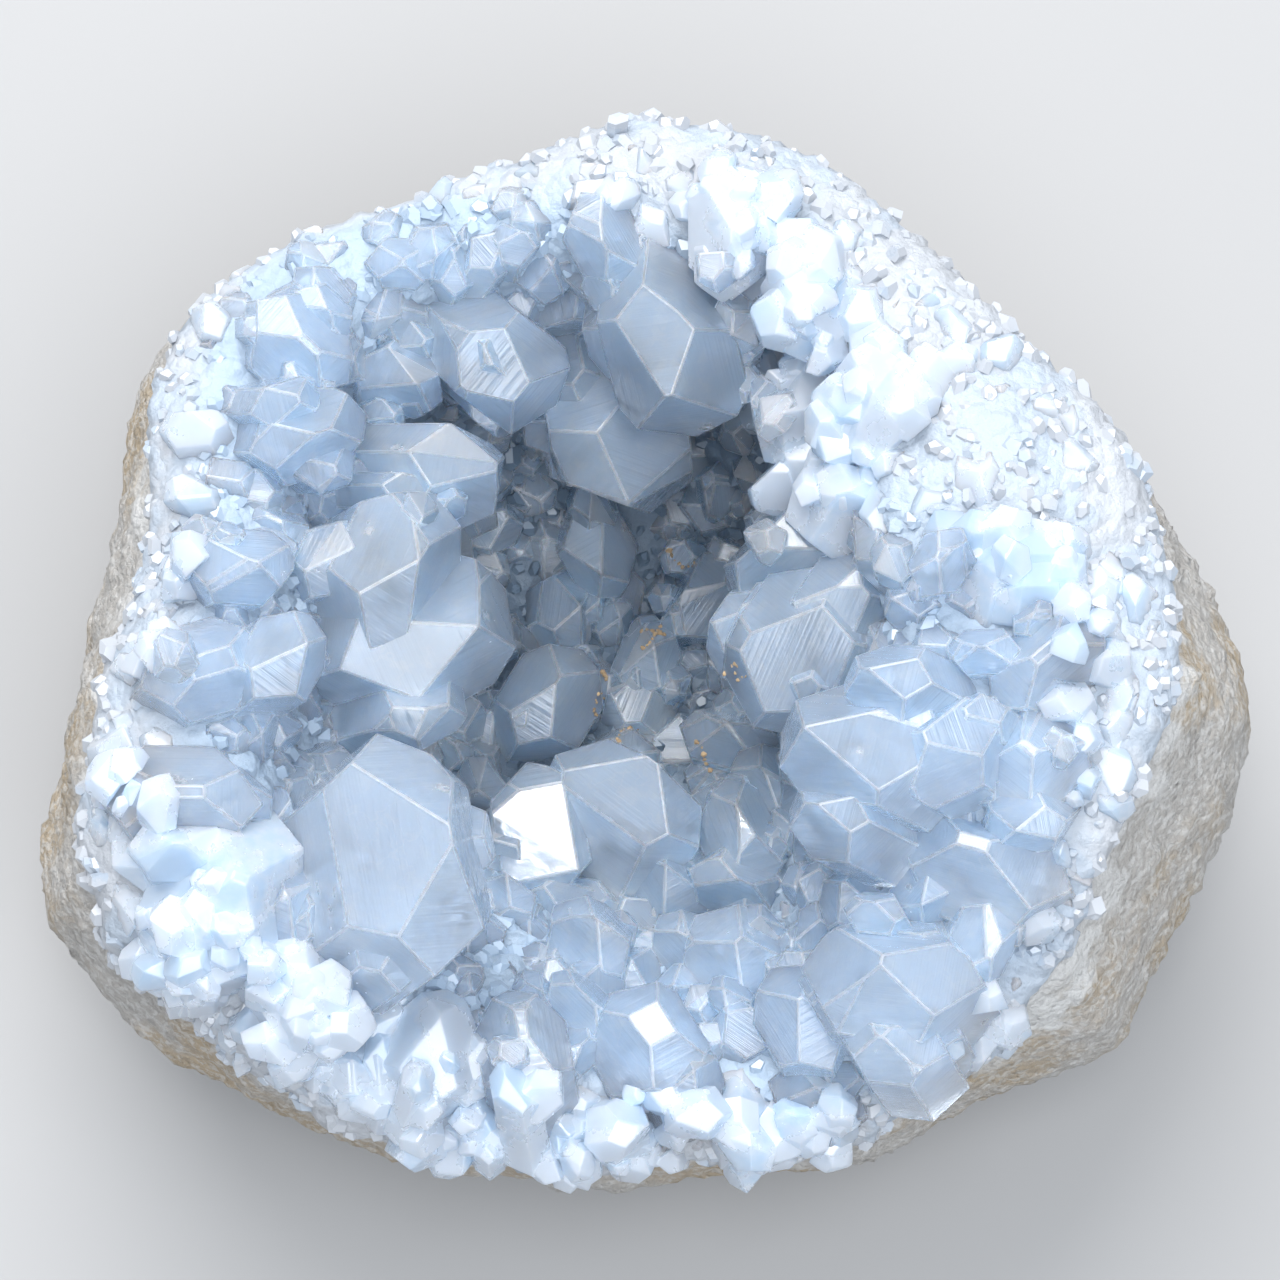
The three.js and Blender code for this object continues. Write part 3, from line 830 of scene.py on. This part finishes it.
def speck_mesh(crystals, chance, count):
    """Grains of dirt that lie on the crystals in the hollow."""
    tree = tree_of(crystals)
    shape = bmesh.new()
    trail_place = None
    for i in range(count):
        if i % SPECK_TRAIL == 0:
            trail_place = Vector((chance.normal() * SPECK_FIELD[0] / 2, chance.normal() * SPECK_FIELD[1] / 2, 0))
            heading = chance.uniform(0, 2 * math.pi)
        heading += chance.normal() * 0.5
        step = SPECK_STEP * chance.uniform(0.4, 1.6)
        trail_place = trail_place + Vector((math.cos(heading), math.sin(heading), 0)) * step
        place = tree.ray_cast(Vector((trail_place.x, trail_place.y, 1)), -UP)[0]
        if place is None:
            continue
        size = chance.uniform(*SPECK_SIZE)
        turn = Matrix.Rotation(chance.uniform(0, 6.3), 4, chance.normal(size=3))
        squash = Matrix.Diagonal((*chance.uniform(0.6, 1.3, 3), 1))
        made = bmesh.ops.create_icosphere(
            shape, subdivisions=1, radius=size, matrix=Matrix.Translation(place) @ turn @ squash)
        for vertex in made["verts"]:
            vertex.co += Vector(chance.normal(size=3)) * 0.12 * size
    mesh = bpy.data.meshes.new("specks")
    shape.to_mesh(mesh)
    shape.free()
    return mesh


# Shader helpers

def add(tree, kind, inputs=None, **values):
    """A node with its settings, and its inputs given as plain values or as sockets to link."""
    node = tree.nodes.new(kind)
    for name, value in values.items():
        setattr(node, name, value)
    for name, value in (inputs or {}).items():
        if isinstance(value, bpy.types.NodeSocket):
            tree.links.new(value, node.inputs[name])
        else:
            node.inputs[name].default_value = value
    return node


def mixed(tree, factor, first, second):
    """Two colours mixed by a factor."""
    node = tree.nodes.new("ShaderNodeMix")
    node.data_type = "RGBA"
    for socket, value in ((node.inputs[0], factor), (node.inputs[6], first), (node.inputs[7], second)):
        if isinstance(value, bpy.types.NodeSocket):
            tree.links.new(value, socket)
        elif socket.type == "RGBA":
            socket.default_value = (*value, 1)
        else:
            socket.default_value = value
    return node.outputs[2]


def ranged(tree, value, low, high, to_low=0.0, to_high=1.0):
    node = add(tree, "ShaderNodeMapRange", {
        "Value": value, "From Min": low, "From Max": high, "To Min": to_low, "To Max": to_high})
    node.interpolation_type = "SMOOTHSTEP"
    return node.outputs[0]


def calculated(tree, operation, first, second):
    node = tree.nodes.new("ShaderNodeMath")
    node.operation = operation
    for socket, value in zip(node.inputs, (first, second)):
        if isinstance(value, bpy.types.NodeSocket):
            tree.links.new(value, socket)
        else:
            socket.default_value = value
    return node.outputs[0]


def noise_of(tree, place, scale, detail=4.0, roughness=0.55):
    node = add(tree, "ShaderNodeTexNoise", {
        "Vector": place, "Scale": scale, "Detail": detail, "Roughness": roughness})
    return node.outputs["Fac"]


def object_place(tree):
    return tree.nodes.new("ShaderNodeTexCoord").outputs["Object"]


def attribute_of(tree, name):
    return add(tree, "ShaderNodeAttribute", attribute_name=name).outputs["Fac"]


def new_group(name, inputs, outputs):
    """An empty shader node group with named number sockets."""
    group = bpy.data.node_groups.new(name, "ShaderNodeTree")
    for label, default in inputs.items():
        socket = group.interface.new_socket(label, in_out="INPUT", socket_type="NodeSocketFloat")
        socket.default_value = default
    for label in outputs:
        group.interface.new_socket(label, in_out="OUTPUT", socket_type="NodeSocketFloat")
    return group, group.nodes.new("NodeGroupInput").outputs, group.nodes.new("NodeGroupOutput").inputs


def frost_group():
    """Cloudy patches and fine veins of white, where crystal is frosted or cracked inside."""
    name = "Frost"
    if name in bpy.data.node_groups:
        return bpy.data.node_groups[name]
    group, given, result = new_group(name, {"Scale": 120.0, "Amount": 0.5}, ["Frost", "Veins"])
    place = object_place(group)
    cloud = noise_of(group, place, given["Scale"], 5.0, 0.6)
    start = calculated(group, "SUBTRACT", 0.85, calculated(group, "MULTIPLY", given["Amount"], 0.55))
    end = calculated(group, "ADD", start, 0.16)
    group.links.new(ranged(group, cloud, start, end), result["Frost"])
    fine = noise_of(group, place, calculated(group, "MULTIPLY", given["Scale"], 2.3), 3.0, 0.5)
    ridge = calculated(group, "ABSOLUTE", calculated(group, "SUBTRACT", fine, 0.5), 0.0)
    group.links.new(ranged(group, ridge, 0.012, 0.0), result["Veins"])
    return group


def grain_group():
    """Coarse sugary grains, as a height and as a patchy mask."""
    name = "Grain"
    if name in bpy.data.node_groups:
        return bpy.data.node_groups[name]
    group, given, result = new_group(name, {"Scale": 700.0}, ["Height", "Mask"])
    place = object_place(group)
    cell = add(group, "ShaderNodeTexVoronoi", {"Vector": place, "Scale": given["Scale"]}, feature="F1")
    fine = noise_of(group, place, calculated(group, "MULTIPLY", given["Scale"], 1.7), 6.0, 0.65)
    height = calculated(group, "ADD", calculated(group, "SUBTRACT", 1.0, cell.outputs["Distance"]), fine)
    group.links.new(height, result["Height"])
    broad = noise_of(group, place, calculated(group, "MULTIPLY", given["Scale"], 0.16), 5.0, 0.62)
    group.links.new(ranged(group, broad, 0.4, 0.62), result["Mask"])
    return group


def use_group(tree, group, **inputs):
    node = tree.nodes.new("ShaderNodeGroup")
    node.node_tree = group
    for name, value in inputs.items():
        node.inputs[name].default_value = value
    return node.outputs


def new_material(name):
    """A material with its node tree, its principled shader and its output."""
    material = bpy.data.materials.new(name)
    material.use_nodes = True
    tree = material.node_tree
    return material, tree, tree.nodes["Principled BSDF"], tree.nodes["Material Output"]


def set_bump(tree, shader, height, distance, strength=1.0):
    bump = add(tree, "ShaderNodeBump", {"Height": height, "Distance": distance, "Strength": strength})
    tree.links.new(bump.outputs["Normal"], shader.inputs["Normal"])


def rock_material():
    """Tan-stained grey rock, sugary white towards the rim."""
    settings = rock_settings()
    material, tree, shader, _ = new_material("rough_rock")
    grain = use_group(tree, grain_group(), Scale=1500.0)
    place = object_place(tree)
    stain = ranged(tree, noise_of(tree, place, 62.0, 6.0, 0.6), 0.42, 0.6)
    body = mixed(tree, stain, settings.grey, settings.tan)
    speckle = ranged(tree, noise_of(tree, place, 1300.0, 3.0, 0.6), 0.46, 0.62)
    body = mixed(tree, calculated(tree, "MULTIPLY", speckle, 0.5), body, settings.white)
    patchy = calculated(tree, "ADD", attribute_of(tree, "rim"), calculated(tree, "MULTIPLY", grain["Mask"], 0.55))
    colour = mixed(tree, ranged(tree, patchy, 0.5, 1.15), body, settings.white)
    tree.links.new(colour, shader.inputs["Base Color"])
    tree.links.new(ranged(tree, grain["Mask"], 0.0, 1.0, 0.95, 0.72), shader.inputs["Roughness"])
    pits = noise_of(tree, place, 260.0, 8.0, 0.7)
    relief = calculated(tree, "ADD", calculated(tree, "MULTIPLY", grain["Height"], 0.25), pits)
    set_bump(tree, shader, relief, 1.6 * MM, 0.9)
    return material


CRYSTAL_IOR = 1.62


def celestite_material():
    """Clear pale blue crystal with frosted patches, milkier towards its root."""
    settings = crystal_settings()
    material, tree, shader, output = new_material("celestite")
    frost = use_group(tree, frost_group(), Scale=110.0, Amount=0.5)
    growth = attribute_of(tree, "growth")
    tint = attribute_of(tree, "tint")
    root = ranged(tree, growth, 0.75, 0.1, 0.0, 0.65)
    milk = calculated(tree, "MAXIMUM", calculated(tree, "MULTIPLY", frost["Frost"], 0.8), root)
    milk = calculated(tree, "ADD", milk, calculated(tree, "MULTIPLY", frost["Veins"], 0.25))
    milk = calculated(tree, "ADD", milk, ranged(tree, tint, 0.35, 1.0, 0.0, 0.8))
    flecks_and_sheen = use_group(tree, frost_group(), Scale=620.0, Amount=0.62)["Frost"]
    flecks_and_sheen = calculated(tree, "MULTIPLY", flecks_and_sheen, ranged(tree, frost["Frost"], 0.0, 0.5, 0.25, 1.0))
    # Worn edges are whitened too: partly real wear, partly a painted edge highlight.
    flecks_and_sheen = calculated(tree, "ADD", flecks_and_sheen, calculated(tree, "MULTIPLY", attribute_of(tree, "wear_and_sheen"), 0.6))
    colour = mixed(tree, milk, settings.clear_blue, settings.milky)
    colour = mixed(tree, flecks_and_sheen, colour, settings.fleck_and_sheen)
    tree.links.new(colour, shader.inputs["Base Color"])
    tree.links.new(ranged(tree, flecks_and_sheen, 0.0, 1.0, 0.05, 0.4), shader.inputs["Roughness"])
    shader.inputs["IOR"].default_value = CRYSTAL_IOR
    shader.inputs["Transmission Weight"].default_value = 0.82
    shader.inputs["Subsurface Weight"].default_value = 1.0
    shader.inputs["Subsurface Radius"].default_value = (0.5, 0.75, 1.0)
    shader.inputs["Subsurface Scale"].default_value = 5 * MM
    shader.subsurface_method = "BURLEY"
    place = object_place(tree)
    ripple = noise_of(tree, place, 420.0, 4.0, 0.6)
    along = add(tree, "ShaderNodeCombineXYZ", {"X": calculated(tree, "MULTIPLY", growth, 26.0), "Y": tint})
    steps = noise_of(tree, along.outputs[0], 1.0, 3.0, 0.7)
    relief = calculated(tree, "ADD", calculated(tree, "MULTIPLY", ripple, 0.4), steps)
    set_bump(tree, shader, relief, 0.2 * MM, 0.45)
    return material


def rim_material():
    """Small crystals of the rim: milky through and through."""
    settings = crystal_settings()
    material, tree, shader, _ = new_material("rim_crystals")
    frost = use_group(tree, frost_group(), Scale=150.0, Amount=0.8)
    root = ranged(tree, attribute_of(tree, "growth"), 0.9, 0.1, 0.0, 0.6)
    milk = calculated(tree, "MAXIMUM", frost["Frost"], root)
    milk = calculated(tree, "ADD", milk, ranged(tree, attribute_of(tree, "tint"), 0.4, 1.0, 0.0, 0.6))
    colour = mixed(tree, milk, settings.rim_blue, settings.rim_white)
    tree.links.new(colour, shader.inputs["Base Color"])
    tree.links.new(ranged(tree, frost["Frost"], 0.0, 1.0, 0.08, 0.3), shader.inputs["Roughness"])
    shader.inputs["IOR"].default_value = CRYSTAL_IOR
    shader.inputs["Subsurface Weight"].default_value = 1.0
    shader.inputs["Transmission Weight"].default_value = 0.45
    shader.inputs["Subsurface Radius"].default_value = (0.6, 0.8, 1.0)
    shader.inputs["Subsurface Scale"].default_value = 2.5 * MM
    shader.subsurface_method = "BURLEY"
    return material


def sugar_colour(tree, frost):
    """White along the rim, blue inside it, and darkened to slate in the deep hollow as a painted shade."""
    settings = crystal_settings()
    share = ranged(tree, frost, 0.0, 1.0, 0.5, 1.0)
    white = calculated(tree, "MULTIPLY", attribute_of(tree, "frosted"), share)
    colour = mixed(tree, white, settings.sugar_shade, settings.sugar)
    # Painted shade: the deep hollow is darkened to slate.
    return mixed(tree, attribute_of(tree, "deep"), colour, settings.deep_painted_shade)


def druse_material():
    """Tiny crystals: frosted, nearly white."""
    settings = crystal_settings()
    material, tree, shader, _ = new_material("druse")
    frost = use_group(tree, frost_group(), Scale=160.0, Amount=0.9)
    colour = sugar_colour(tree, frost["Frost"])
    tree.links.new(colour, shader.inputs["Base Color"])
    tree.links.new(ranged(tree, frost["Frost"], 0.0, 1.0, 0.12, 0.35), shader.inputs["Roughness"])
    shader.inputs["IOR"].default_value = CRYSTAL_IOR
    return material


def lining_material():
    """The sugary white layer that the crystals grow from."""
    settings = crystal_settings()
    material, tree, shader, _ = new_material("sugary_lining")
    frost = use_group(tree, frost_group(), Scale=90.0, Amount=0.8)
    grain = use_group(tree, grain_group(), Scale=900.0)
    colour = sugar_colour(tree, frost["Frost"])
    tree.links.new(colour, shader.inputs["Base Color"])
    tree.links.new(ranged(tree, grain["Mask"], 0.0, 1.0, 0.35, 0.6), shader.inputs["Roughness"])
    shader.inputs["IOR"].default_value = CRYSTAL_IOR
    set_bump(tree, shader, grain["Height"], 0.4 * MM, 0.7)
    return material


def speck_material():
    settings = crystal_settings()
    material, tree, shader, _ = new_material("dirt")
    place = object_place(tree)
    shade = ranged(tree, noise_of(tree, place, 500.0), 0.35, 0.65)
    colour = mixed(tree, shade, settings.speck, tuple(1.7 * c for c in settings.speck))
    tree.links.new(colour, shader.inputs["Base Color"])
    shader.inputs["Roughness"].default_value = 0.9
    return material


def floor_material():
    settings = stage_settings()
    material, tree, shader, _ = new_material("floor")
    place = object_place(tree)
    cloud = noise_of(tree, place, 6.0, 3.0, 0.5)
    colour = mixed(tree, cloud, tuple(0.97 * c for c in settings.floor), settings.floor)
    tree.links.new(colour, shader.inputs["Base Color"])
    shader.inputs["Roughness"].default_value = 0.8
    return material


# Operators

ROCK_CHANCE = 5
CRYSTAL_CHANCE = 21


class GEODE_OT_rock(bpy.types.Operator):
    """Makes the rough rock bowl"""

    bl_idname = "geode.rock"
    bl_label = "Rough Rock"

    def execute(self, context):
        mesh = rough_rock_mesh(even_rock_mesh())
        add_piece("rough_rock", mesh, rock_material(), ROCK_NODE)
        return {"FINISHED"}


class GEODE_OT_lining(bpy.types.Operator):
    """Makes the sugary lining and the tiny crystals on it"""

    bl_idname = "geode.lining"
    bl_label = "Lining and Druse"

    def execute(self, context):
        lining, top_count = lining_mesh(even_rock_mesh())
        chance = np.random.default_rng(ROCK_CHANCE)
        druse = druse_mesh(lining, top_count, chance, crystal_settings().druse_count)
        add_piece("sugary_lining", lining, lining_material(), CRUST_NODE)
        add_piece("druse", druse, druse_material(), CRUST_NODE)
        return {"FINISHED"}


class GEODE_OT_crystals(bpy.types.Operator):
    """Makes the large and small crystals, joined in two solids: the clear ones and the milky ones of the rim"""

    bl_idname = "geode.crystals"
    bl_label = "Crystals"

    def execute(self, context):
        settings = crystal_settings()
        chance = np.random.default_rng(CRYSTAL_CHANCE)
        large = large_crystals(chance)
        grown = list(large)
        mirrors = [g for g in large if g.is_mirror]
        for crystal in large:
            grown += parallel_growth(crystal, mirrors, chance)
        base = joined_mesh([g.mesh(settings.bevel) for g in large])
        grown += encrusting(base, chance, settings.encrusting_count)
        grown += small_crystals(large, chance, settings.small_count)
        clear = [g for g in grown if g.frost < 0.5]
        white = [g for g in grown if g.frost >= 0.5]
        for name, group, material in (
                ("crystals", clear, celestite_material()), ("rim_crystals", white, rim_material())):
            mesh = joined_mesh([g.mesh(settings.bevel) for g in group])
            mark_growth(mesh, group)
            add_piece(name, mesh, material, CRUST_NODE)
        return {"FINISHED"}


class GEODE_OT_specks(bpy.types.Operator):
    """Scatters specks of dirt over the crystals in the hollow"""

    bl_idname = "geode.specks"
    bl_label = "Specks of Dirt"

    def execute(self, context):
        chance = np.random.default_rng(CRYSTAL_CHANCE)
        mesh = speck_mesh(bpy.data.objects["crystals"].data, chance, crystal_settings().speck_count)
        add_piece("specks", mesh, speck_material(), CRUST_NODE)
        return {"FINISHED"}


FLOOR_SIZE = 6.0
SENSOR = 36.0
AIM = Vector((-0.46, 1.19, 22)) * MM
AIM_LIFT = 1.33 * MM


def add_light(name, place, target, size, power, colour):
    light = bpy.data.lights.new(name, "AREA")
    light.shape = "DISK"
    light.size = size
    light.energy = power
    light.color = colour
    lamp = bpy.data.objects.new(name, light)
    bpy.context.scene.collection.objects.link(lamp)
    lamp.location = place
    lamp.rotation_euler = (Vector(target) - Vector(place)).to_track_quat("-Z", "Y").to_euler()
    return lamp


class GEODE_OT_stage(bpy.types.Operator):
    """Makes the pale floor, the soft light and the camera"""

    bl_idname = "geode.stage"
    bl_label = "Stage"

    def execute(self, context):
        settings = stage_settings()
        scene = context.scene
        half = FLOOR_SIZE / 2
        mesh = bpy.data.meshes.new("floor")
        mesh.from_pydata([(-half, -half, 0), (half, -half, 0), (half, half, 0), (-half, half, 0)], [], [(0, 1, 2, 3)])
        floor = bpy.data.objects.new("floor", mesh)
        scene.collection.objects.link(floor)
        mesh.materials.append(floor_material())
        floor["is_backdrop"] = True

        world = bpy.data.worlds.new("studio")
        world.use_nodes = True
        background = world.node_tree.nodes["Background"]
        background.inputs["Color"].default_value = (0.90, 0.95, 1.0, 1)
        background.inputs["Strength"].default_value = settings.sky_strength
        scene.world = world
        middle = (0, 0, 0.03)
        add_light("key", (-0.12, 0.45, 0.6), middle, 0.6, settings.key_power, (1.0, 0.99, 0.97))
        add_light("fill", (0.15, -0.25, 0.75), middle, 0.7, settings.fill_power, (0.94, 0.97, 1.0))
        add_light("glint", (0.0, -0.05, 0.72), middle, 0.16, settings.glint_power, (1.0, 1.0, 1.0))

        data = bpy.data.cameras.new("photo_view")
        camera = bpy.data.objects.new("photo_view", data)
        scene.collection.objects.link(camera)
        data.sensor_width = SENSOR
        data.lens = SENSOR * settings.distance / settings.view_width
        data.clip_start = 0.01
        ahead = Vector((0, math.cos(settings.elevation), -math.sin(settings.elevation)))
        lift = Vector((0, math.sin(settings.elevation), math.cos(settings.elevation)))
        camera.location = AIM + lift * AIM_LIFT - ahead * settings.distance
        camera.rotation_euler = ahead.to_track_quat("-Z", "Y").to_euler()
        scene.camera = camera
        scene.view_settings.view_transform = "Standard"
        return {"FINISHED"}


PIECE_OPERATORS = (GEODE_OT_rock, GEODE_OT_lining, GEODE_OT_crystals, GEODE_OT_specks, GEODE_OT_stage)


class GEODE_PT_panel(bpy.types.Panel):
    """Lists the steps that build the geode"""

    bl_idname = "GEODE_PT_panel"
    bl_label = "Celestite Geode"
    bl_space_type = "VIEW_3D"
    bl_region_type = "UI"
    bl_category = "Geode"

    def draw(self, context):
        for step in PIECE_OPERATORS:
            self.layout.operator(step.bl_idname)


SETTINGS = {
    "geode_rock": RockSettings,
    "geode_crystals": CrystalSettings,
    "geode_stage": StageSettings,
}
CLASSES = (*SETTINGS.values(), *PIECE_OPERATORS, GEODE_PT_panel)


def register():
    for cls in CLASSES:
        bpy.utils.register_class(cls)
    for name, group in SETTINGS.items():
        setattr(bpy.types.Scene, name, bpy.props.PointerProperty(type=group))


def unregister():
    for name in SETTINGS:
        delattr(bpy.types.Scene, name)
    for cls in reversed(CLASSES):
        bpy.utils.unregister_class(cls)


def main():
    register()
    bpy.ops.geode.rock()
    bpy.ops.geode.lining()
    bpy.ops.geode.crystals()
    bpy.ops.geode.specks()
    bpy.ops.geode.stage()
    boxes = {"cad": CAD_BOX, "visual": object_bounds()}
    {name: [list(corner) for corner in box] for name, box in boxes.items()}


if __name__ == "__main__":
    main()
